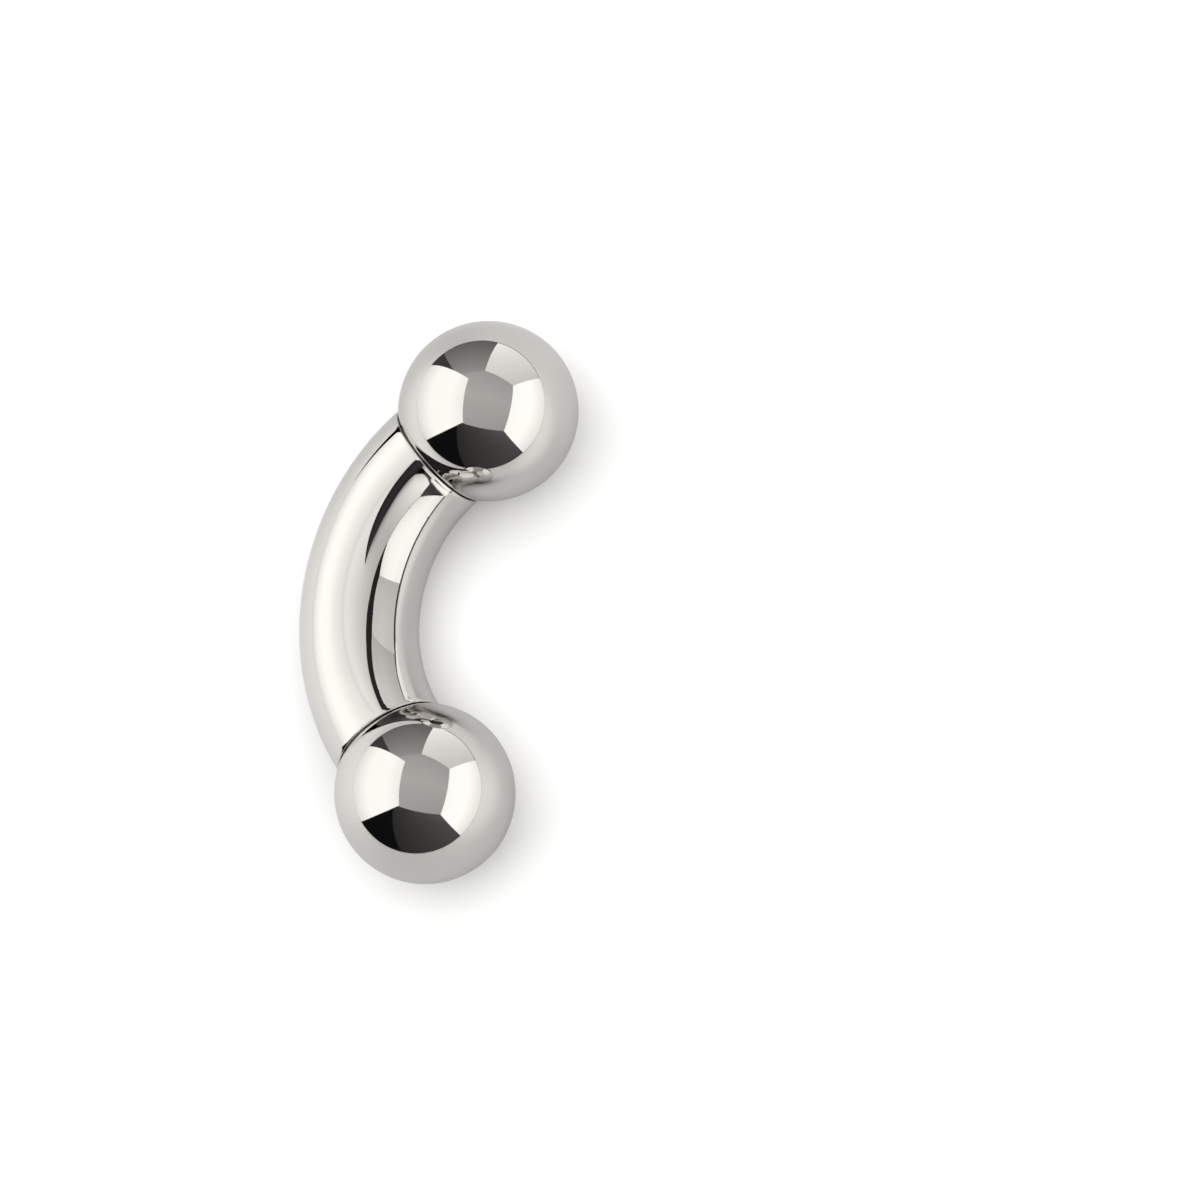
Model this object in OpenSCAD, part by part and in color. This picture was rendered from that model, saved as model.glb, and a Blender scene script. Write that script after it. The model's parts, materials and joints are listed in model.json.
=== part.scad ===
// Curved barbell for a heavy-gauge piercing, drawn as it lies on a table.
// A bent round bar is tapped at both ends. Each end takes a ball with a threaded post.
// X runs through the ball centres, +Y is the outside of the bend, and Z = 0 is the table.

/* [Bar] */
// Thickness of the bar
bar_d = 4; // [3.8:0.1:5]
// Straight distance between the centres of the bar's two rims
bar_length = 9.6; // [8.4:0.1:14]
// Angle that the bar is bent through
bend_angle = 90; // [60:1:100]
// Rounding of the rim's edge
rim_round = 0.07; // [0.04:0.01:0.12]

/* [Balls] */
// Ball diameter
ball_d = 6; // [5.4:0.1:8]
// Gap between a ball and the dish that it seats in
seat_gap = 0.05; // [0.02:0.01:0.12]

/* [Threads] */
// Diameter over the crests of the post's thread
post_d = 1.96; // [1.6:0.02:2.1]
// Length of the post past the ball's surface
post_length = 1.6; // [1.2:0.1:2]
// Thread pitch
thread_pitch = 0.4; // [0.3:0.05:0.5]
// Depth of the thread
thread_depth = 0.2; // [0.12:0.01:0.22]
// Gap all round between the post's crests and the tapped hole's crests
thread_gap = 0.03; // [0.01:0.01:0.06]
// Free depth left in the hole past the post's tip
tip_gap = 0.25; // [0.15:0.05:0.4]
// Diameter of the hole's countersunk mouth
mouth_d = 2.6; // [2.4:0.05:3]

/* [Hidden] */

steel = [0.78, 0.77, 0.75];
thread_steel = [0.62, 0.60, 0.57];
round_sides = 96;
rim_steps = 12;
dish_steps = 8;
margin = 0.5;

bar_r = bar_d / 2;
ball_r = ball_d / 2;
dish_r = ball_r + seat_gap;

// The rim's edge is an arc that runs from the bar's wall to the dish, and crosses the wall cleanly.
// Heights along an end are taken from the ball's centre, towards the bar.
wall_crossing = 0.002;
rim_arc_r = bar_r - rim_round + wall_crossing;
rim_arc_h = sqrt(pow(dish_r + rim_round, 2) - pow(rim_arc_r, 2));
rim_h = rim_arc_h - rim_round;
rim_sweep = 180 - atan2(rim_arc_h, rim_arc_r);

// The bar's centre line is one arc from rim to rim, and each ball sits straight off its end.
half_bend = bend_angle / 2;
ball_x = bar_length / 2 + rim_h * cos(half_bend);
bend_r = bar_length / 2 / sin(half_bend);
bulge = bend_r * (1 - cos(half_bend)) + rim_h * sin(half_bend);

// At rest both balls and the middle of the bend touch the table.
rest_tilt = asin((ball_r - bar_r) / bulge);
depth_y = ball_r + bulge * cos(rest_tilt) + bar_r;
ball_y = ball_r - depth_y / 2;

// Thread form: 60 degree flanks, with a narrow flat on each crest.
flank = thread_depth * tan(30);
crest_flat = thread_pitch / 8;
post_crest_r = post_d / 2;
post_root_r = post_crest_r - thread_depth;
post_tip_h = ball_r + post_length;
post_turns = floor(post_length / thread_pitch);
hole_crest_r = post_crest_r + thread_gap;
hole_root_r = hole_crest_r + thread_depth;
hole_end_h = post_tip_h + tip_gap;
mouth_r = mouth_d / 2;
mouth_h = sqrt(pow(dish_r, 2) - pow(mouth_r, 2));
hole_thread_h = mouth_h + mouth_r - hole_crest_r;
hole_turns = floor((hole_end_h - hole_thread_h) / thread_pitch);
drill_point_angle = 59;

// Level rings at the thread's pitch, from base radius base_r out or in to peak_r
function thread_rings(start_h, turns, base_r, peak_r) = [
    for (turn = [0 : 1 : turns - 1], h = start_h + turn * thread_pitch)
        each [
            [base_r, h],
            [peak_r, h + flank],
            [peak_r, h + flank + crest_flat],
            [base_r, h + 2 * flank + crest_flat]
        ]
];

// Edge of the rim, from the bar's wall round to the dish
function rim_points() = [
    for (step = [0 : rim_steps], turn = -rim_sweep * step / rim_steps)
        [rim_arc_r + rim_round * cos(turn), rim_arc_h + rim_round * sin(turn)]
];

// Dish that the ball seats in, from the rim's edge in to the hole's mouth
function dish_points() =
    let (from = asin(rim_arc_r / (dish_r + rim_round)), to = asin(mouth_r / dish_r))
    [
        for (step = [1 : dish_steps], tilt = from + (to - from) * step / dish_steps)
            [dish_r * sin(tilt), dish_r * cos(tilt)]
    ];

// Places an end of the barbell: the origin is the ball's centre, +Z points at the bar.
module at_end(side) {
    translate([side * ball_x, 0, 0])
        rotate([0, -side * 90, -side * half_bend])
            children();
}

// Tips the flat-drawn barbell on to its three resting points.
module at_rest() {
    translate([0, ball_y, ball_r])
        rotate([-rest_tilt, 0, 0])
            children();
}

module bend() {
    translate([0, bulge - bend_r, 0])
        rotate_extrude(angle = bend_angle, start = 90 - half_bend, $fn = round_sides * 2)
            translate([bend_r, 0])
                circle(r = bar_r, $fn = round_sides);
}

// Everything that is cut from an end: the rim's edge, the dish, the mouth and the tapped hole
module end_cut() {
    rotate_extrude($fn = round_sides)
        polygon(concat(
            [[0, 0], [bar_r + margin, 0], [bar_r + margin, rim_arc_h]],
            rim_points(),
            dish_points(),
            thread_rings(hole_thread_h, hole_turns, hole_crest_r, hole_root_r),
            [[hole_crest_r, hole_end_h], [0, hole_end_h + hole_crest_r / tan(drill_point_angle)]]
        ));
}

module threaded_post() {
    rotate_extrude($fn = round_sides)
        polygon(concat(
            [[0, ball_r - margin], [post_root_r, ball_r - margin]],
            thread_rings(post_tip_h - post_turns * thread_pitch, post_turns, post_root_r, post_crest_r),
            [[post_root_r, post_tip_h], [0, post_tip_h]]
        ));
}

module curved_bar() {
    color(steel)
        at_rest()
            difference() {
                bend();
                for (side = [-1, 1])
                    at_end(side) end_cut();
            }
}

module ball(side) {
    at_rest()
        at_end(side) {
            color(steel)
                sphere(r = ball_r, $fn = round_sides);
            color(thread_steel)
                threaded_post();
        }
}

module upper_ball() {
    ball(1);
}

module lower_ball() {
    ball(-1);
}

curved_bar();
upper_ball();
lower_ball();
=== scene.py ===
import json
import math

import bmesh
import bpy
import numpy as np
from mathutils import Matrix, Vector


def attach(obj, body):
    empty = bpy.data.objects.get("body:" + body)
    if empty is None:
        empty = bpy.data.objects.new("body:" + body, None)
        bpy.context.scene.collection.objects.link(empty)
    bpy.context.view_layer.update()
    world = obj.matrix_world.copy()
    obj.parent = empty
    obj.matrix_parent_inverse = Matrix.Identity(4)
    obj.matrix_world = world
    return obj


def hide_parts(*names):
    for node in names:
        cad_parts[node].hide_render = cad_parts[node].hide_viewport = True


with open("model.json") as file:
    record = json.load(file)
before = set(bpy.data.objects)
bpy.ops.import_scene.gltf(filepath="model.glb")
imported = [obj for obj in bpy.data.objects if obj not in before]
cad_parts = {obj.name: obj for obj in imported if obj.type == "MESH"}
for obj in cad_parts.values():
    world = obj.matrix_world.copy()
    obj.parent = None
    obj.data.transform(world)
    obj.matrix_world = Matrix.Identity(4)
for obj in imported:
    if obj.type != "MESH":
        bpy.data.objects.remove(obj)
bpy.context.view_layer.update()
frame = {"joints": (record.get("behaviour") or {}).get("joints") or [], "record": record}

# Curved bar: 4 mm round bar of surgical steel, bent cold to one arc, then dished, countersunk
# and tapped at both ends, and buffed to a mirror. It lies tipped, so that its balls and the
# middle of its bend touch the table.
MM = 0.001
BALL_RADIUS = 3.0 * MM
SEAT_GAP = 0.05 * MM
RIM_ROUND = 0.07 * MM
WALL_CROSSING = 0.002 * MM

ball_axis = {
    joint["child"]: np.array(joint["axis"]) for joint in frame["joints"]
}
middle = np.array(frame["record"]["mounts"][0]["pos_m"])
bar_radius = middle[2]
upper_axis = ball_axis["upper_ball"]
half_bend = math.acos(upper_axis[0])
tip = math.atan2(upper_axis[2], -upper_axis[1])
along = np.array([1.0, 0.0, 0.0])
outward = np.array([0.0, math.cos(tip), -math.sin(tip)])
upward = np.cross(along, outward)

# Heights along an end are taken from its ball's centre, towards the bar.
dish_radius = BALL_RADIUS + SEAT_GAP
rim_arc_radius = bar_radius - RIM_ROUND + WALL_CROSSING
rim_arc_height = math.sqrt((dish_radius + RIM_ROUND) ** 2 - rim_arc_radius**2)
rim_height = rim_arc_height - RIM_ROUND
bulge = (BALL_RADIUS - bar_radius) / math.sin(tip)
bend_radius = (bulge - rim_height * math.sin(half_bend)) / (1 - math.cos(half_bend))
ball_offset = bend_radius * math.sin(half_bend) + rim_height * math.cos(half_bend)


def in_bend(x, out, up):
    """Points from their place in the bend's plane: x along the barbell, out from the line
    of the ball centres towards the outside of the bend, and up from the plane."""
    start = middle - bulge * outward
    parts = np.broadcast_arrays(x, out, up)
    return start + sum(
        part[..., None] * axis for part, axis in zip(parts, (along, outward, upward))
    )


def turned_round_end(side, height, radius, angle):
    """Points round one end's axis, at a height from the ball's centre, a radius from the axis
    and an angle that starts on the outside of the bend."""
    across = radius * np.cos(angle)
    c, s = math.cos(half_bend), math.sin(half_bend)
    x = side * (ball_offset - height * c + across * s)
    return in_bend(x, height * s + across * c, radius * np.sin(angle))


def turned_round_bend(turn, radius, angle):
    """Points round the bar's bent centre line, at a turn from its middle towards the upper
    ball: the ring of that radius stands square to the line there."""
    across = bend_radius + radius * np.cos(angle)
    out = bulge - bend_radius + across * np.cos(turn)
    return in_bend(across * np.sin(turn), out, radius * np.sin(angle))


COLUMNS = 160
angles = np.linspace(0, 2 * math.pi, COLUMNS + 1)[None, :]


def level_rows(heights, radii):
    """Rows of level rings, each with a height and a radius that hold all the way round."""
    flat = np.ones_like(angles)
    return np.asarray(heights)[:, None] * flat, np.asarray(radii)[:, None] * flat


# The thread is one ridge that climbs by its pitch each turn, right-handed, as on the posts.
PITCH = 0.4 * MM
ROWS_A_TURN = 14
CREST_FLATNESS = 0.62


def thread_rows(side, start, end, base, depth, angle, fade):
    """Heights and radii of a helical ridge round one end's axis: row n lies n rows' share of a
    pitch along, and slips by one pitch in a turn. The ridge is a cosine clipped to flats, as
    deep as depth, and it fades out over fade at both ends, where rows stop on a level ring."""
    count = int(math.ceil((end - start) / PITCH + 2) * ROWS_A_TURN)
    share = np.arange(count)[:, None] / ROWS_A_TURN
    level = start - PITCH + PITCH * (share - side * (angle / (2 * math.pi) - 0.5))
    height = np.clip(level, start, end)
    ridge = np.clip(0.5 - CREST_FLATNESS * np.cos(2 * math.pi * share), 0, 1)
    edge = np.minimum(height - start, end - height) / fade
    swell = np.clip(edge, 0, 1)
    ridge = ridge * swell * swell * (3 - 2 * swell)
    return height, base + depth * ridge, ridge


# The ball fits closely in its dish. Buffing has rolled the wall over a little at each rim.
CONE_ROWS = 7
SINK_ROWS = 8
DISH_ROWS = 13
EDGE_ROWS = 15
ROLL_ROWS = 11
ROLL_CROWDING = 1.2
WALL_ROWS = 90
FIT_GAP = 0.02 * MM
EDGE_ROUND = 0.045 * MM
ROLL_LENGTH = 0.11 * MM
ROLL_DEPTH = 0.008 * MM
MOUTH_RADIUS = 1.3 * MM
HOLE_CREST_RADIUS = 1.01 * MM
THREAD_DEPTH = 0.2 * MM
HOLE_END = 4.85 * MM
HOLE_THREAD_FADE = 0.12 * MM
DRILL_POINT_ANGLE = math.radians(59)

fit_radius = BALL_RADIUS + FIT_GAP
edge_radius = bar_radius - ROLL_DEPTH - EDGE_ROUND
edge_height = math.sqrt((fit_radius + EDGE_ROUND) ** 2 - edge_radius**2)
roll_slope = math.atan(2 * ROLL_DEPTH / ROLL_LENGTH)


def bar_end(side):
    """Grid of one end of the bar, from the bottom of its hole out to its wall: the drill's
    cone, the thread, the countersink, the dish and the rim's round edge."""
    mouth = math.sqrt(fit_radius**2 - MOUTH_RADIUS**2)
    thread_start = mouth + MOUTH_RADIUS - HOLE_CREST_RADIUS
    cone = np.linspace(0, 1, CONE_ROWS + 1)[:-1]
    cone_depth = HOLE_CREST_RADIUS / math.tan(DRILL_POINT_ANGLE)
    bottom = level_rows(HOLE_END + cone_depth * (1 - cone), HOLE_CREST_RADIUS * cone)
    thread = thread_rows(
        side, thread_start, HOLE_END, HOLE_CREST_RADIUS, THREAD_DEPTH, angles, HOLE_THREAD_FADE
    )
    sink = np.linspace(0, 1, SINK_ROWS + 1)[1:]
    countersink = level_rows(
        thread_start + (mouth - thread_start) * sink,
        HOLE_CREST_RADIUS + (MOUTH_RADIUS - HOLE_CREST_RADIUS) * sink,
    )
    edge_tilt = math.asin(edge_radius / (fit_radius + EDGE_ROUND))
    mouth_tilt = math.asin(MOUTH_RADIUS / fit_radius)
    tilt = np.linspace(mouth_tilt, edge_tilt, DISH_ROWS + 1)[1:]
    dish = level_rows(fit_radius * np.cos(tilt), fit_radius * np.sin(tilt))
    sweep = np.linspace(-math.pi / 2 - edge_tilt, -roll_slope, EDGE_ROWS + 1)[1:]
    rim = level_rows(
        edge_height + EDGE_ROUND * np.sin(sweep),
        edge_radius + EDGE_ROUND * np.cos(sweep),
    )
    parts = [bottom, (thread[0][::-1], thread[1][::-1]), countersink, dish, rim]
    height = np.concatenate([part[0] for part in parts])
    radius = np.concatenate([part[1] for part in parts])
    ridge = np.ones_like(height)
    first, last = len(bottom[0]), len(bottom[0]) + len(thread[0])
    ridge[first:last] = 1 - thread[2][::-1]
    ridge[:first] = 0
    polished = np.arange(len(height)) > last
    return turned_round_end(side, height, radius, angles), polished, ridge


def bar_wall():
    """Grid of the bent wall from the upper rim to the lower: close rows near the rims, where
    the radius drops as the square of the nearness to the rim."""
    near = ROLL_LENGTH * np.linspace(0, 1, ROLL_ROWS + 2)[1:-1] ** ROLL_CROWDING
    rim_line = edge_height - rim_height
    whole = 2 * half_bend * bend_radius
    plain = np.linspace(
        rim_line + ROLL_LENGTH, whole - rim_line - ROLL_LENGTH, WALL_ROWS
    )
    run = np.concatenate([rim_line + near, plain, whole - rim_line - near[::-1]])
    from_rim = np.minimum(run, whole - run) - rim_line
    roll = np.clip(1 - from_rim / ROLL_LENGTH, 0, 1) ** 2
    radius = bar_radius - ROLL_DEPTH * roll
    turn = half_bend - run / bend_radius
    return turned_round_bend(turn[:, None], radius[:, None], angles)


SAME_POINT = 0.0002 * MM
SHARP_EDGE = math.radians(50)


def closed_skin(name, points, polished, tread):
    """A closed mesh from a grid of points, rows along the piece and columns round it: the last
    column lies on the first, and the first and last rows are single points. Faces in rows
    that aren't polished take the second material. tread is how far up a thread's ridge a
    point lies, for the colour of its root."""
    rows, columns = points.shape[:2]
    index = np.arange(rows * columns).reshape(rows, columns)
    quads = np.stack(
        [index[:-1, :-1], index[:-1, 1:], index[1:, 1:], index[1:, :-1]], axis=-1
    ).reshape(-1, 4)
    mesh = bpy.data.meshes.new(name)
    mesh.from_pydata(points.reshape(-1, 3).tolist(), [], quads.tolist())
    finish_of_row = np.repeat(~polished[1:], columns - 1).astype(np.int32)
    mesh.polygons.foreach_set("material_index", finish_of_row)
    ridge = mesh.attributes.new("thread_ridge", "FLOAT", "POINT")
    ridge.data.foreach_set("value", tread.reshape(-1).astype(np.float32))
    shape = bmesh.new()
    shape.from_mesh(mesh)
    bmesh.ops.remove_doubles(shape, verts=shape.verts, dist=SAME_POINT)
    bmesh.ops.recalc_face_normals(shape, faces=shape.faces)
    shape.to_mesh(mesh)
    shape.free()
    mesh.shade_smooth()
    mesh.set_sharp_from_angle(angle=SHARP_EDGE)
    piece = bpy.data.objects.new(name, mesh)
    bpy.context.scene.collection.objects.link(piece)
    return piece


upper_end, upper_polished, upper_ridge = bar_end(1)
lower_end, lower_polished, lower_ridge = bar_end(-1)
wall = bar_wall()
wall_rows = np.ones(wall.shape[:2])
curved_bar = closed_skin(
    "polished_bar",
    np.concatenate([upper_end, wall, lower_end[::-1]]),
    np.concatenate([upper_polished, wall_rows[:, 0] > 0, lower_polished[::-1]]),
    np.concatenate([upper_ridge, wall_rows, lower_ridge[::-1]]),
)


def add_node(tree, kind, place, **settings):
    """A node of that kind at a place on the sheet. A setting that starts with in_ is the value
    of an input, and the others are the node's own."""
    node = tree.nodes.new(kind)
    node.location = place
    for key, value in settings.items():
        if key.startswith("in_"):
            node.inputs[key[3:].replace("_", " ")].default_value = value
        else:
            setattr(node, key, value)
    return node


# The last cloth wheel leaves hairlines, a few pits and a trace of haze.
HAIRLINE_TURNS = ((0.3, 0.5, 0.9), (1.1, -0.4, 2.2))
HAIRLINE_STRETCH = (900.0, 26000.0, 26000.0)
HAIRLINE_FROM, HAIRLINE_FULL = 0.66, 0.78
PIT_SCALE = 1600.0
PIT_FROM, PIT_FULL = 0.07, 0.03
HAZE_SCALE = 700.0
HAZE_OF_MARKS = 0.35


def polishing_marks_group():
    """Buffing hairlines in two directions, small pits and a slow haze, over Object space.
    Height is for a Bump, and Haze is from 0 to 1."""
    tree = bpy.data.node_groups.new("polishing_marks", "ShaderNodeTree")
    for name, value in (("Hairline Scale", 1.0), ("Hairlines", 0.15), ("Pits", 1.0)):
        socket = tree.interface.new_socket(name, in_out="INPUT", socket_type="NodeSocketFloat")
        socket.default_value = value
    for name in ("Height", "Haze"):
        tree.interface.new_socket(name, in_out="OUTPUT", socket_type="NodeSocketFloat")
    links = tree.links
    given = add_node(tree, "NodeGroupInput", (-1200, 0))
    result = add_node(tree, "NodeGroupOutput", (600, 0))
    where = add_node(tree, "ShaderNodeTexCoord", (-1200, -300))
    total = None
    for number, turn in enumerate(HAIRLINE_TURNS):
        stretch = add_node(tree, "ShaderNodeMapping", (-950, -260 * number))
        stretch.inputs["Rotation"].default_value = turn
        stretch.inputs["Scale"].default_value = HAIRLINE_STRETCH
        links.new(where.outputs["Object"], stretch.inputs["Vector"])
        lines = add_node(tree, "ShaderNodeTexNoise", (-750, -260 * number), in_Detail=1.0)
        links.new(stretch.outputs["Vector"], lines.inputs["Vector"])
        links.new(given.outputs["Hairline Scale"], lines.inputs["Scale"])
        sharp = add_node(tree, "ShaderNodeMapRange", (-550, -260 * number))
        sharp.interpolation_type = "SMOOTHSTEP"
        sharp.inputs["From Min"].default_value = HAIRLINE_FROM
        sharp.inputs["From Max"].default_value = HAIRLINE_FULL
        links.new(lines.outputs["Fac"], sharp.inputs["Value"])
        if total is None:
            total = sharp.outputs["Result"]
            continue
        both = add_node(tree, "ShaderNodeMath", (-330, -260 * number), operation="MAXIMUM")
        links.new(total, both.inputs[0])
        links.new(sharp.outputs["Result"], both.inputs[1])
        total = both.outputs["Value"]
    hairs = add_node(tree, "ShaderNodeMath", (-100, -100), operation="MULTIPLY")
    links.new(total, hairs.inputs[0])
    links.new(given.outputs["Hairlines"], hairs.inputs[1])

    cells = add_node(tree, "ShaderNodeTexVoronoi", (-750, 300), in_Scale=PIT_SCALE)
    links.new(where.outputs["Object"], cells.inputs["Vector"])
    pit = add_node(tree, "ShaderNodeMapRange", (-550, 300))
    pit.inputs["From Min"].default_value = PIT_FROM
    pit.inputs["From Max"].default_value = PIT_FULL
    links.new(cells.outputs["Distance"], pit.inputs["Value"])
    pits = add_node(tree, "ShaderNodeMath", (-330, 300), operation="MULTIPLY")
    links.new(pit.outputs["Result"], pits.inputs[0])
    links.new(given.outputs["Pits"], pits.inputs[1])

    marks = add_node(tree, "ShaderNodeMath", (100, 100), operation="ADD")
    links.new(hairs.outputs["Value"], marks.inputs[0])
    links.new(pits.outputs["Value"], marks.inputs[1])
    sunk = add_node(tree, "ShaderNodeMath", (300, 150), operation="MULTIPLY")
    sunk.inputs[1].default_value = -1.0
    links.new(marks.outputs["Value"], sunk.inputs[0])
    links.new(sunk.outputs["Value"], result.inputs["Height"])

    cloud = add_node(
        tree, "ShaderNodeTexNoise", (-750, 600), in_Scale=HAZE_SCALE, in_Detail=3.0
    )
    links.new(where.outputs["Object"], cloud.inputs["Vector"])
    film = add_node(tree, "ShaderNodeMath", (300, -100), operation="MULTIPLY_ADD")
    film.inputs[1].default_value = HAZE_OF_MARKS
    links.new(marks.outputs["Value"], film.inputs[0])
    links.new(cloud.outputs["Fac"], film.inputs[2])
    links.new(film.outputs["Value"], result.inputs["Haze"])
    return tree


polishing_marks = polishing_marks_group()


def steel_material(name, roughness, haze, mark_depth):
    """Metal whose roughness follows the haze of the polishing marks, and whose marks are cut
    to mark_depth by a Bump. Its colour is linked by the caller. Returns the material and the
    node of its marks."""
    material = bpy.data.materials.new(name)
    material.use_nodes = True
    tree = material.node_tree
    shader = tree.nodes["Principled BSDF"]
    shader.inputs["Metallic"].default_value = 1.0
    marks = add_node(tree, "ShaderNodeGroup", (-700, -200), node_tree=polishing_marks)
    rough = add_node(tree, "ShaderNodeMapRange", (-450, 0))
    rough.inputs["To Min"].default_value = roughness - haze
    rough.inputs["To Max"].default_value = roughness + haze
    tree.links.new(marks.outputs["Haze"], rough.inputs["Value"])
    tree.links.new(rough.outputs["Result"], shader.inputs["Roughness"])
    bump = add_node(tree, "ShaderNodeBump", (-450, -300), in_Distance=mark_depth)
    tree.links.new(marks.outputs["Height"], bump.inputs["Height"])
    tree.links.new(bump.outputs["Normal"], shader.inputs["Normal"])
    return material, marks


# The mirror polish is a touch darker where it is hazy.
STEEL_COLOUR = (0.715, 0.697, 0.669, 1)
HAZY_COLOUR = (0.66495, 0.64821, 0.62217, 1)
POLISH_ROUGHNESS = 0.035
POLISH_HAZE = 0.03
POLISH_MARK_DEPTH = 0.0004 * MM
polished_steel, polish_marks = steel_material(
    "polished_steel", POLISH_ROUGHNESS, POLISH_HAZE, POLISH_MARK_DEPTH
)
polish_tree = polished_steel.node_tree
polish_tint = add_node(polish_tree, "ShaderNodeMix", (-450, 300), data_type="RGBA")
polish_tint.inputs["A"].default_value = STEEL_COLOUR
polish_tint.inputs["B"].default_value = HAZY_COLOUR
polish_tree.links.new(polish_marks.outputs["Haze"], polish_tint.inputs["Factor"])
polish_tree.links.new(
    polish_tint.outputs["Result"], polish_tree.nodes["Principled BSDF"].inputs["Base Color"]
)

# The threads aren't buffed: they keep the satin of the cutting tool. Their roots are coloured
# dark brown, blending to the steel's colour towards the crests, so only the crests look bright.
THREAD_COLOUR = (0.60, 0.585, 0.56, 1)
ROOT_COLOUR = (0.13, 0.105, 0.085, 1)
CREST_TINT_FROM = 0.8
THREAD_ROUGHNESS = 0.24
THREAD_HAZE = 0.08
THREAD_MARK_DEPTH = 0.0012 * MM
thread_steel, _ = steel_material(
    "thread_steel", THREAD_ROUGHNESS, THREAD_HAZE, THREAD_MARK_DEPTH
)
thread_tree = thread_steel.node_tree
ridge_read = add_node(
    thread_tree, "ShaderNodeAttribute", (-900, 300), attribute_name="thread_ridge"
)
ridge_part = add_node(thread_tree, "ShaderNodeMapRange", (-700, 300))
ridge_part.inputs["From Max"].default_value = CREST_TINT_FROM
root_tint_mix = add_node(thread_tree, "ShaderNodeMix", (-450, 300), data_type="RGBA")
root_tint_mix.inputs["A"].default_value = ROOT_COLOUR
root_tint_mix.inputs["B"].default_value = THREAD_COLOUR
thread_tree.links.new(ridge_read.outputs["Fac"], ridge_part.inputs["Value"])
thread_tree.links.new(ridge_part.outputs["Result"], root_tint_mix.inputs["Factor"])
thread_tree.links.new(
    root_tint_mix.outputs["Result"], thread_tree.nodes["Principled BSDF"].inputs["Base Color"]
)

curved_bar.data.materials.append(polished_steel)
curved_bar.data.materials.append(thread_steel)
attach(curved_bar, "bar")
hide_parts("curved_bar")

# Balls with their posts: each is turned from solid steel in one piece and screws into an end
# of the bar. The post is threaded right up to the ball and rounded over at its tip, and the
# ball alone is buffed.
POST_CREST_RADIUS = 0.98 * MM
POST_LENGTH = 1.6 * MM
TIP_ROUND = 0.16 * MM
NECK_GAP = 0.01 * MM
POST_THREAD_FADE = 0.14 * MM
BALL_ROWS = 110
TIP_ROWS = 7
FACE_ROWS = 5


def ball_skin(side):
    """Grid of a ball from its far pole round to the neck, then along the threaded post to the
    middle of its tip, whose edge is a quarter of an ellipse."""
    root = POST_CREST_RADIUS - THREAD_DEPTH
    neck = math.asin(root / BALL_RADIUS)
    tilt = np.linspace(math.pi, neck, BALL_ROWS)
    sphere = level_rows(BALL_RADIUS * np.cos(tilt), BALL_RADIUS * np.sin(tilt))
    post_end = BALL_RADIUS + POST_LENGTH
    thread_start = BALL_RADIUS * math.cos(neck) + NECK_GAP
    thread_end = post_end - TIP_ROUND
    height, radius, ridge = thread_rows(
        side, thread_start, thread_end, root, THREAD_DEPTH, angles, POST_THREAD_FADE
    )
    quarter = np.linspace(0, math.pi / 2, TIP_ROWS + 1)[1:]
    edge = level_rows(
        thread_end + TIP_ROUND * np.sin(quarter),
        root - TIP_ROUND * (1 - np.cos(quarter)),
    )
    face = np.linspace(1, 0, FACE_ROWS + 1)[1:]
    flat = level_rows(np.full_like(face, post_end), (root - TIP_ROUND) * face)
    heights = np.concatenate([sphere[0], height, edge[0], flat[0]])
    radii = np.concatenate([sphere[1], radius, edge[1], flat[1]])
    tread = np.ones_like(heights)
    tread[BALL_ROWS : BALL_ROWS + len(height)] = ridge
    polished = np.arange(len(heights)) < BALL_ROWS
    return turned_round_end(side, heights, radii, angles), polished, tread


balls = []
for side, node in ((1, "upper_ball"), (-1, "lower_ball")):
    ball = closed_skin(f"polished_{node}", *ball_skin(side))
    ball.data.materials.append(polished_steel)
    ball.data.materials.append(thread_steel)
    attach(ball, node)
    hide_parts(node)
    balls.append(ball)

# Table: a plain pale top of matt card, which the barbell lies on. Where the steel mirrors it,
# the card's colour holds painted light and shade: brightest towards the pale boards on both
# sides of the barbell, and painted shade past its ends, as the steel shows.
TABLE_HALF_WIDTH = 600 * MM
CARD_FROM_ABOVE = 0.9
CARD_PAINTED_LIGHT_STOPS = ((0.0, 0.77), (0.25, 0.50), (0.7, 0.475), (0.87, 0.56), (1.0, 0.80))
CARD_PAINTED_END_LIGHT = 0.09
CARD_END_LIGHT_FROM = 0.7
CARD_FADE_FROM = 60 * MM
CARD_FADE_TO = 240 * MM
CARD_MIDDLE = (3 * MM, 5 * MM, 6 * MM)
CARD_END_LIGHT_WAY = (0.99, -0.14, 0)

half = TABLE_HALF_WIDTH
card_mesh = bpy.data.meshes.new("table_top")
card_mesh.from_pydata(
    [(-half, -half, 0), (half, -half, 0), (half, half, 0), (-half, half, 0)],
    [],
    [(0, 1, 2, 3)],
)
table = bpy.data.objects.new("table_top", card_mesh)
bpy.context.scene.collection.objects.link(table)
card = bpy.data.materials.new("matt_card_painted_light")
card.use_nodes = True
card_tree = card.node_tree
card_shader = card_tree.nodes["Principled BSDF"]
card_shader.inputs["Roughness"].default_value = 1.0
card_shader.inputs["Specular IOR Level"].default_value = 0.0
card_shader.inputs["Emission Color"].default_value = (1, 1, 1, 1)
card_links = card_tree.links
card_place = add_node(card_tree, "ShaderNodeTexCoord", (-1700, 0))
card_sight = add_node(card_tree, "ShaderNodeLightPath", (-700, 500))
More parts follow.
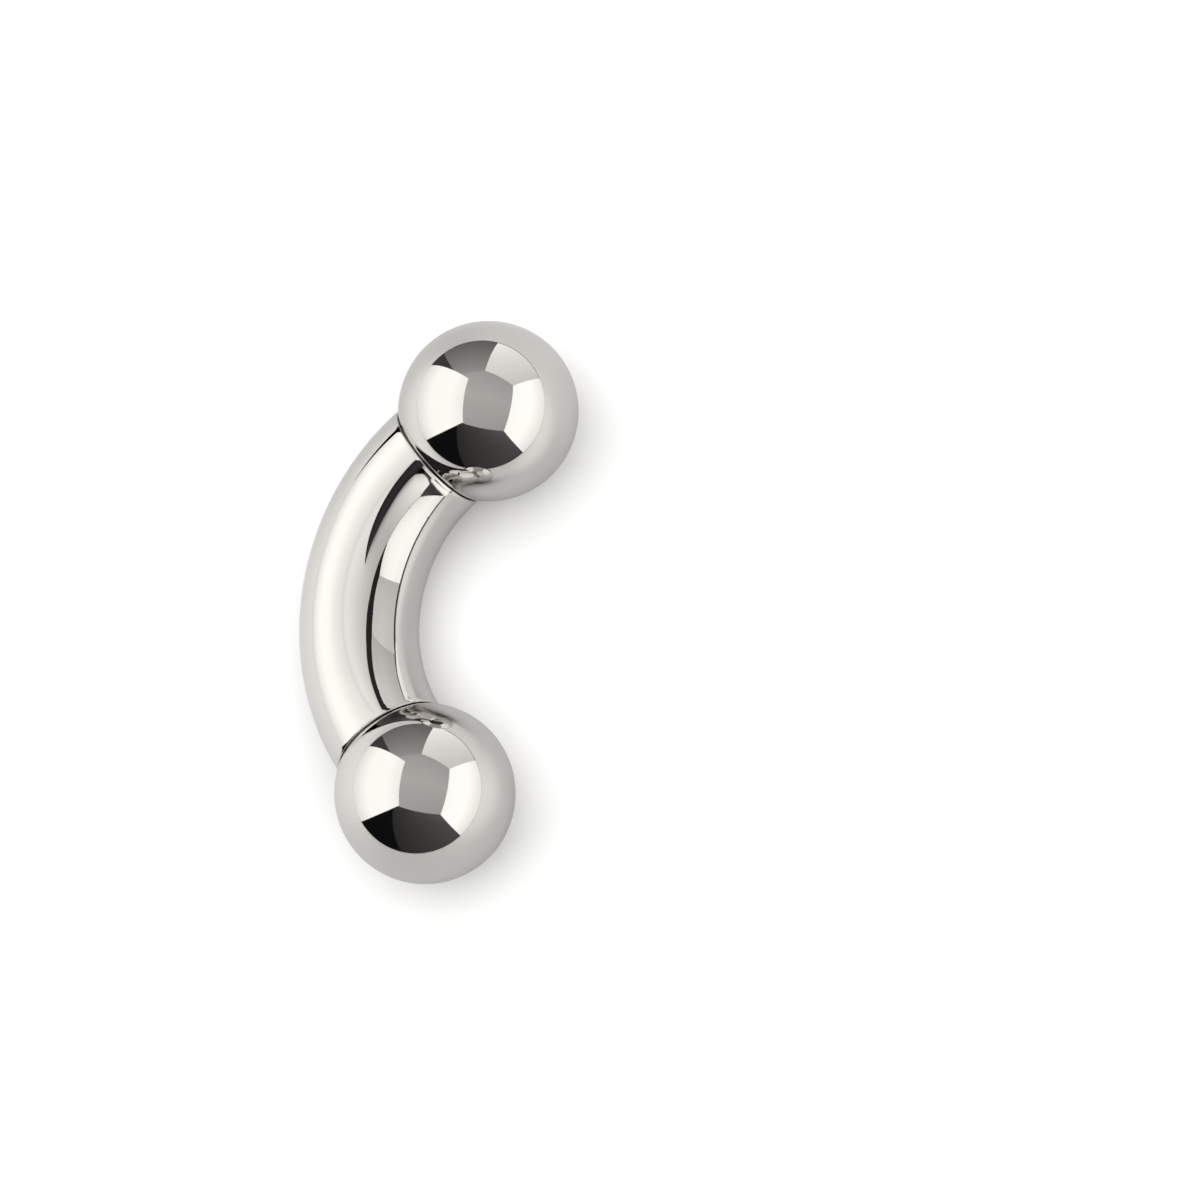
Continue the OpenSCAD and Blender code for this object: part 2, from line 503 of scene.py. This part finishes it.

# The way from the middle of the barbell sets the painted light in the card's colour: from one
# brightly painted side, by way of the painted shade at the ends, to the other bright side.
card_from = add_node(card_tree, "ShaderNodeVectorMath", (-1500, 0), operation="ADD")
card_from.inputs[1].default_value = CARD_MIDDLE
card_way = add_node(card_tree, "ShaderNodeVectorMath", (-1300, 0), operation="NORMALIZE")
card_axes = add_node(card_tree, "ShaderNodeSeparateXYZ", (-1100, 0))
card_side = add_node(card_tree, "ShaderNodeMapRange", (-900, 0))
card_side.inputs["From Min"].default_value = -1.0
card_painted_light = add_node(card_tree, "ShaderNodeValToRGB", (-700, 0))
card_painted_light.color_ramp.interpolation = "B_SPLINE"
for place, _ in CARD_PAINTED_LIGHT_STOPS[1:-1]:
    card_painted_light.color_ramp.elements.new(place)
for stop, (place, tone) in zip(card_painted_light.color_ramp.elements, CARD_PAINTED_LIGHT_STOPS):
    stop.position = place
    stop.color = (tone, tone, tone, 1)
card_links.new(card_place.outputs["Object"], card_from.inputs[0])
card_links.new(card_from.outputs["Vector"], card_way.inputs[0])
card_links.new(card_way.outputs["Vector"], card_axes.inputs["Vector"])
card_links.new(card_axes.outputs["Y"], card_side.inputs["Value"])
card_links.new(card_side.outputs["Result"], card_painted_light.inputs["Fac"])

# Past the upper ball, the card's colour gets a little more painted light.
card_end = add_node(card_tree, "ShaderNodeVectorMath", (-900, -250), operation="DOT_PRODUCT")
card_end.inputs[1].default_value = CARD_END_LIGHT_WAY
card_painted_end_light = add_node(card_tree, "ShaderNodeMapRange", (-700, -250))
card_painted_end_light.interpolation_type = "SMOOTHSTEP"
card_painted_end_light.inputs["From Min"].default_value = CARD_END_LIGHT_FROM
card_painted_end_light.inputs["To Max"].default_value = CARD_PAINTED_END_LIGHT
card_painted_light_sum = add_node(card_tree, "ShaderNodeMath", (-300, -100), operation="ADD")
# The camera sees the card's plain pale colour. Every other ray sees the painted light and
# shade.
card_colour_by_ray = add_node(card_tree, "ShaderNodeMix", (-150, 0), data_type="FLOAT")
card_colour_by_ray.inputs["B"].default_value = CARD_FROM_ABOVE
card_links.new(card_way.outputs["Vector"], card_end.inputs[0])
card_links.new(card_end.outputs["Value"], card_painted_end_light.inputs["Value"])
card_links.new(card_painted_light.outputs["Color"], card_painted_light_sum.inputs[0])
card_links.new(card_painted_end_light.outputs["Result"], card_painted_light_sum.inputs[1])
card_links.new(card_sight.outputs["Is Camera Ray"], card_colour_by_ray.inputs["Factor"])
card_links.new(card_painted_light_sum.outputs["Value"], card_colour_by_ray.inputs["A"])
card_links.new(card_colour_by_ray.outputs["Result"], card_shader.inputs["Base Color"])

# Far off, the card runs out to the white behind it with no edge in the picture.
card_far = add_node(card_tree, "ShaderNodeVectorMath", (-1100, 300), operation="LENGTH")
card_fade = add_node(card_tree, "ShaderNodeMapRange", (-700, 300))
card_fade.interpolation_type = "SMOOTHSTEP"
card_fade.inputs["From Min"].default_value = CARD_FADE_FROM
card_fade.inputs["From Max"].default_value = CARD_FADE_TO
card_white = add_node(card_tree, "ShaderNodeMath", (-400, 400), operation="MULTIPLY")
card_links.new(card_place.outputs["Object"], card_far.inputs[0])
card_links.new(card_far.outputs["Value"], card_fade.inputs["Value"])
card_links.new(card_fade.outputs["Result"], card_white.inputs[0])
card_links.new(card_sight.outputs["Is Camera Ray"], card_white.inputs[1])
card_links.new(card_white.outputs["Value"], card_shader.inputs["Emission Strength"])
table.data.materials.append(card)

# Light boards: large soft boards round the table, which the steel mirrors. Each is ruled
# between a foot rail and a head rail, and is as bright as its glow says: rows from foot to
# head, each with values along the board.
BOARD_STEPS = 24
BOARD_COLOUR = (1.0, 0.993, 0.98, 1)


def light_board(name, size, foot, head, glow, lights):
    """A board between two rails of points, in units of size. The point at (u, v) is the foot
    rail's point at u plus v times the way to the head rail's, and its glow is blended alike."""
    foot, head, glow = (np.asarray(part, float) for part in (foot, head, glow))
    u = np.linspace(0, 1, BOARD_STEPS + 1)
    v = u[:, None]
    stations = np.linspace(0, 1, len(foot))
    rails = [
        np.stack([np.interp(u, stations, given[:, axis]) for axis in range(3)], axis=-1)
        for given in (foot, head)
    ]
    points = rails[0] + v[..., None] * (rails[1] - rails[0])
    columns = np.linspace(0, 1, glow.shape[1])
    rows = np.linspace(0, 1, glow.shape[0])
    along_rows = np.stack([np.interp(u, columns, row) for row in glow])
    shine = np.stack([np.interp(u, rows, column) for column in along_rows.T], axis=-1)
    index = np.arange(u.size**2).reshape(u.size, u.size)
    quads = np.stack(
        [index[:-1, :-1], index[:-1, 1:], index[1:, 1:], index[1:, :-1]], axis=-1
    )
    mesh = bpy.data.meshes.new(name)
    mesh.from_pydata(
        (points * size).reshape(-1, 3).tolist(), [], quads.reshape(-1, 4).tolist()
    )
    value = mesh.attributes.new("glow", "FLOAT", "POINT")
    value.data.foreach_set("value", shine.astype(np.float32).ravel())
    board = bpy.data.objects.new(name, mesh)
    board.visible_camera = False
    board.light_linking.receiver_collection = lights
    bpy.context.scene.collection.objects.link(board)
    return board


def board_material(name, see_through):
    """A material that shines as its board's glow says. A see-through one also lets light by."""
    material = bpy.data.materials.new(name)
    material.use_nodes = True
    material.cycles.emission_sampling = "NONE"
    tree = material.node_tree
    tree.nodes.remove(tree.nodes["Principled BSDF"])
    surface = tree.nodes["Material Output"].inputs["Surface"]
    glow_read = add_node(tree, "ShaderNodeAttribute", (-300, 0), attribute_name="glow")
    lamp = add_node(tree, "ShaderNodeEmission", (0, 0), in_Color=BOARD_COLOUR)
    tree.links.new(glow_read.outputs["Fac"], lamp.inputs["Strength"])
    if not see_through:
        tree.links.new(lamp.outputs["Emission"], surface)
        return material
    pane = add_node(tree, "ShaderNodeBsdfTransparent", (0, -200))
    both = add_node(tree, "ShaderNodeAddShader", (200, 0))
    tree.links.new(lamp.outputs["Emission"], both.inputs[0])
    tree.links.new(pane.outputs["BSDF"], both.inputs[1])
    tree.links.new(both.outputs["Shader"], surface)
    return material


def rail(*bearings):
    """Points at a level distance of 1 in each direction, given as the bearing from +X towards
    +Y and the height angle, both in degrees."""
    bearing, rise = np.radians(np.array(bearings, float)).T
    return np.stack([np.cos(bearing), np.sin(bearing), np.tan(rise)], axis=-1)


lit_balls = bpy.data.collections.new("lit_balls")
lit_bar = bpy.data.collections.new("lit_bar")
lit_bar.objects.link(curved_bar)
for piece in (*balls, table):
    lit_balls.objects.link(piece)

ball_board = board_material("ball_board", see_through=False)
BALL_TENT = 600 * MM
for name, foot, head, glow in (
    (
        "sloping_board",
        [(-0.62, 1.0, 0), (0.60, 1.0, 0)],
        [(-0.55, 0.344, 1.1), (0.63, 0.378, 1.1)],
        [(1.05, 1.05), (1.42, 1.42), (1.45, 1.45), (1.25, 1.25)],
    ),
    (
        "side_board",
        [(0.85, -1.0, 0.004), (-0.87, -1.0, 0.0)],
        [(0.80, -1.0, 1.07), (-0.84, -1.0, 1.12)],
        [(1.2, 1.1), (1.48, 1.45), (1.48, 1.45), (1.4, 1.4)],
    ),
    (
        "end_board",
        [(1.0, 0.02, 0.012), (0.85, -1.0, 0.012)],
        [(1.0, 0.0, 1.09), (0.80, -1.0, 1.07)],
        [(1.25, 0.78), (1.06, 0.83), (0.96, 0.80)],
    ),
    (
        "grey_wall",
        [(0.78, 0.81, 0.012), (1.0, 0.02, 0.012)],
        [(0.74, 0.78, 1.09), (1.0, 0.0, 1.09)],
        [(0.19, 0.15), (0.29, 0.28), (0.42, 0.38)],
    ),
    (
        "gap_board",
        [(0.50, 1.12, 0), (0.98, 0.92, 0)],
        [(0.50, 1.12, 0.9), (0.98, 0.92, 0.9)],
        [(0.06, 0.06), (0.06, 0.06)],
    ),
    (
        "roof",
        [(1.02, 0.9, 1.12), (1.02, -1.05, 1.12)],
        [(-0.5, 0.9, 1.12), (-0.83, -1.05, 1.12)],
        [(0.46, 0.45), (0.59, 0.54), (0.52, 0.44)],
    ),
    (
        "dark_board",
        [(-0.9, -1.0, 0), (-1.0, 0.23, 0)],
        [(-0.82, -1.0, 1.12), (-0.56, 0.53, 1.12)],
        [(0.09, 0.03), (0.10, 0.032), (0.13, 0.04)],
    ),
):
    board = light_board(name, BALL_TENT, foot, head, glow, lit_balls)
    board.data.materials.append(ball_board)

bar_board = board_material("bar_board", see_through=True)
BAR_TENT = 420 * MM
for name, foot, head, glow in (
    (
        "bar_overhead",
        [(1.0, 0.268, 1), (0.833, 0, 1), (0.6, -0.336, 1), (0.446, -0.451, 1)]
        + [(0.23, -0.571, 1)],
        [(1.1, 0.42, 1), (0.8, 0.42, 1), (0.5, 0.42, 1), (0.1, 0.42, 1), (-0.26, 0.42, 1)],
        [
            (0.76, 0.76, 0.75, 0.72, 0.68),
            (0.83, 0.84, 0.83, 0.82, 0.78),
            (0.94, 0.95, 0.93, 0.92, 0.90),
            (1.00, 1.03, 1.05, 1.05, 1.03),
            (1.02, 1.08, 1.14, 1.15, 1.12),
            (0.94, 0.98, 1.00, 1.00, 0.96),
        ],
    ),
    (
        "bar_overhead_end",
        [(0.23, -0.571, 1), (0, -0.622, 1), (-0.15, -0.638, 1), (-0.288, -0.648, 1)]
        + [(-0.54, -0.642, 1), (-1.0, -0.638, 1)],
        [(0.0265, -0.162, 1), (-0.148, -0.116, 1), (-0.278, -0.043, 1), (-0.39, 0.08, 1)]
        + [(-0.44, 0.10, 1), (-0.48, 0.10, 1)],
        [
            (0.68, 0.64, 0.62, 0.62, 0.76, 1.05),
            (0.72, 0.66, 0.64, 0.64, 0.80, 1.10),
            (0.77, 0.68, 0.66, 0.68, 0.84, 1.15),
            (0.81, 0.69, 0.66, 0.73, 0.88, 1.18),
            (0.85, 0.62, 0.58, 0.68, 0.88, 1.10),
            (0.88, 0.24, 0.20, 0.24, 0.40, 0.70),
        ],
    ),
    (
        "bar_overhead_tip",
        [(-1.0, -0.638, 1), (-0.87, -0.454, 1), (-0.74, -0.269, 1), (-0.61, -0.085, 1)]
        + [(-0.48, 0.10, 1)],
        [(-1.0, -0.638, 1), (-1.13, -0.45, 1), (-0.86, -0.19, 1), (-0.66, -0.02, 1)]
        + [(-0.48, 0.10, 1)],
        [(1.05, 1.12, 1.18, 1.10, 0.70), (0.95, 1.2, 1.2, 0.9, 0.5)],
    ),
    (
        "bar_overhead_gap",
        [(0.0265, -0.162, 1), (-0.045, -0.0165, 1), (-0.117, 0.129, 1), (-0.188, 0.274, 1)]
        + [(-0.26, 0.42, 1)],
        [(0.0265, -0.162, 1), (-0.148, -0.116, 1), (-0.278, -0.043, 1), (-0.39, 0.08, 1)]
        + [(-0.528, 0.146, 1)],
        [
            (0.03, 0.02, 0.02, 0.02, 0.02),
            (0.06, 0.05, 0.04, 0.04, 0.04),
            (0.20, 0.03, 0.02, 0.02, 0.02),
        ],
    ),
    (
        "bar_white_corner",
        [(-0.26, 0.42, 1), (-0.528, 0.146, 1)],
        [(-0.45, 0.75, 1), (-0.85, 0.35, 1)],
        [(1.0, 0.85), (1.0, 0.85)],
    ),
    (
        "bar_white_side",
        [(0.437, 1.2, 0), (-0.48, 1.2, 0)],
        [(1.1, 0.42, 1), (-0.26, 0.42, 1)],
        [(0.92, 1.0), (1.24, 1.30), (1.48, 1.48), (1.46, 1.44), (1.24, 1.22), (1.12, 1.08)],
    ),
    (
        "bar_black_gap",
        rail((12, 36), (-46, 40), (-90, 46), (-114, 52)),
        rail((12, 52), (-46, 62), (-90, 62), (-114, 58)),
        [(0.03, 0.025, 0.022, 0.02), (0.03, 0.025, 0.022, 0.02)],
    ),
    (
        "bar_grey_wall",
        rail((46, 0), (1, 0)),
        rail((46, 36), (1, 40)),
        [(0.09, 0.035, 0.015), (0.13, 0.10, 0.10), (0.22, 0.24, 0.26)],
    ),
    (
        "bar_grey_panel",
        rail((0, 9), (-15, 9), (-30, 8.5), (-46.6, 6)),
        rail((0, 42), (-15, 45.9), (-30, 47), (-46.6, 46.8)),
        [(0.68, 0.66, 0.61, 0.56), (0.86, 0.83, 0.73, 0.62), (0.86, 0.80, 0.64, 0.59)],
    ),
    (
        "bar_foot_glint",
        rail((5, 0), (-15, 0), (-35, 0), (-55, 0)),
        rail((5, 8), (-15, 8), (-35, 6.5), (-55, 0.5)),
        [(0.95, 1.0, 1.1, 1.1), (1.05, 1.15, 1.2, 1.2)],
    ),
    (
        "bar_pale_panel",
        rail((-46.6, 5), (-60, 4.5), (-75, 4.5), (-88, 4.5)),
        rail((-46.6, 46.8), (-60, 47.6), (-75, 49.2), (-88, 48.9)),
        [(0.71, 0.75, 0.70, 0.65), (0.85, 0.82, 0.76, 0.67), (0.78, 0.75, 0.73, 0.63)],
    ),
    (
        "bar_white_panel",
        rail((-88, 4), (-105, 4), (-120, 4), (-145, 3)),
        rail((-88, 48.9), (-114, 54.0), (-130, 49.5), (-147.25, 39.8)),
        [
            (1.27, 1.36, 1.37, 1.15),
            (1.38, 1.42, 1.42, 1.33),
            (1.30, 1.36, 1.34, 1.22),
            (1.06, 1.18, 1.18, 1.06),
        ],
    ),
    (
        "bar_foot_shade",
        rail((-50, 0), (-90, 0), (-145, 0)),
        rail((-50, 3), (-90, 3), (-145, 3)),
        [(0.26, 0.24, 0.34), (0.05, 0.03, 0.06)],
    ),
    (
        "bar_dark_panel",
        rail((-147, 0), (-165, 0), (-245, 0)),
        rail((-147.25, 39.8), (-170, 48), (-245, 52)),
        [(0.12, 0.03, 0.012), (0.06, 0.03, 0.012), (0.10, 0.03, 0.012)],
    ),
    (
        "bar_white_end",
        rail((-145, 0), (-152.5, 0), (-161.7, 0), (-168, 0), (-182, 0)),
        rail((-145, 3), (-151.5, 24), (-160.5, 40), (-168, 47), (-182, 47)),
        [(1.3, 1.3, 1.3, 1.2, 1.1), (1.3, 1.3, 1.3, 1.2, 1.1)],
    ),
):
    board = light_board(name, BAR_TENT, foot, head, glow, lit_bar)
    board.data.materials.append(bar_board)

# Lamp: one soft square lamp hangs over the table and lights the card evenly. It is masked
# from the steel, which mirrors the boards instead.
LAMP_SIZE = 900 * MM
LAMP_POWER = 4.6
LAMP_PLACE = (0, 60 * MM, 560 * MM)

lamp_data = bpy.data.lights.new("overhead_lamp", "AREA")
lamp_data.shape = "SQUARE"
lamp_data.size = LAMP_SIZE
lamp_data.energy = LAMP_POWER
overhead_lamp = bpy.data.objects.new("overhead_lamp", lamp_data)
overhead_lamp.location = LAMP_PLACE
overhead_lamp.visible_camera = False
overhead_lamp.visible_glossy = False
bpy.context.scene.collection.objects.link(overhead_lamp)

# Surround: the room round the boards, which is dark in the steel and pale behind the table
# in the picture.
ROOM_COLOUR = (0.006, 0.006, 0.0065, 1)
BACKDROP_COLOUR = (1.1, 1.1, 1.1, 1)

surround = bpy.data.worlds.new("surround")
surround.use_nodes = True
bpy.context.scene.world = surround
room_tree = surround.node_tree
room = room_tree.nodes["Background"]
room.inputs["Color"].default_value = ROOM_COLOUR
pale = add_node(room_tree, "ShaderNodeBackground", (0, -200), in_Color=BACKDROP_COLOUR)
seen = add_node(room_tree, "ShaderNodeLightPath", (0, 300))
choose = add_node(room_tree, "ShaderNodeMixShader", (300, 0))
room_tree.links.new(seen.outputs["Is Camera Ray"], choose.inputs["Fac"])
room_tree.links.new(room.outputs["Background"], choose.inputs[1])
room_tree.links.new(pale.outputs["Background"], choose.inputs[2])
room_tree.links.new(
    choose.outputs["Shader"], room_tree.nodes["World Output"].inputs["Surface"]
)

# Camera: a long lens looks down on the barbell from a little to one side, turned so that the
# barbell stands upright in the left half of the picture.
VIEW_AZIMUTH = math.radians(-26.66)
VIEW_ELEVATION = math.radians(72.90)
VIEW_ROLL = math.radians(-54.92)
CAMERA_DISTANCE = 332 * MM
AIM_RIGHT = 5.97 * MM
AIM_DOWN = 0.10 * MM
LENS = 300
CLIP_START = 10 * MM

level_right = Vector((math.cos(VIEW_AZIMUTH), math.sin(VIEW_AZIMUTH), 0))
to_camera = Vector(
    (
        math.sin(VIEW_AZIMUTH) * math.cos(VIEW_ELEVATION),
        -math.cos(VIEW_AZIMUTH) * math.cos(VIEW_ELEVATION),
        math.sin(VIEW_ELEVATION),
    )
)
rolled_right = Matrix.Rotation(VIEW_ROLL, 3, to_camera) @ level_right
rolled_up = to_camera.cross(rolled_right)
subject = Vector((0, 0, BALL_RADIUS))
camera_data = bpy.data.cameras.new("camera")
camera_data.lens = LENS
camera_data.clip_start = CLIP_START
camera = bpy.data.objects.new("camera", camera_data)
camera.location = subject + to_camera * CAMERA_DISTANCE
aim = subject + rolled_right * AIM_RIGHT - rolled_up * AIM_DOWN
back = (camera.location - aim).normalized()
right = (rolled_right - back * rolled_right.dot(back)).normalized()
turned = Matrix((right, back.cross(right), back)).transposed()
camera.rotation_euler = turned.to_euler()
bpy.context.scene.collection.objects.link(camera)
bpy.context.scene.camera = camera
bpy.context.scene.view_settings.view_transform = "Standard"

bpy.context.view_layer.update()
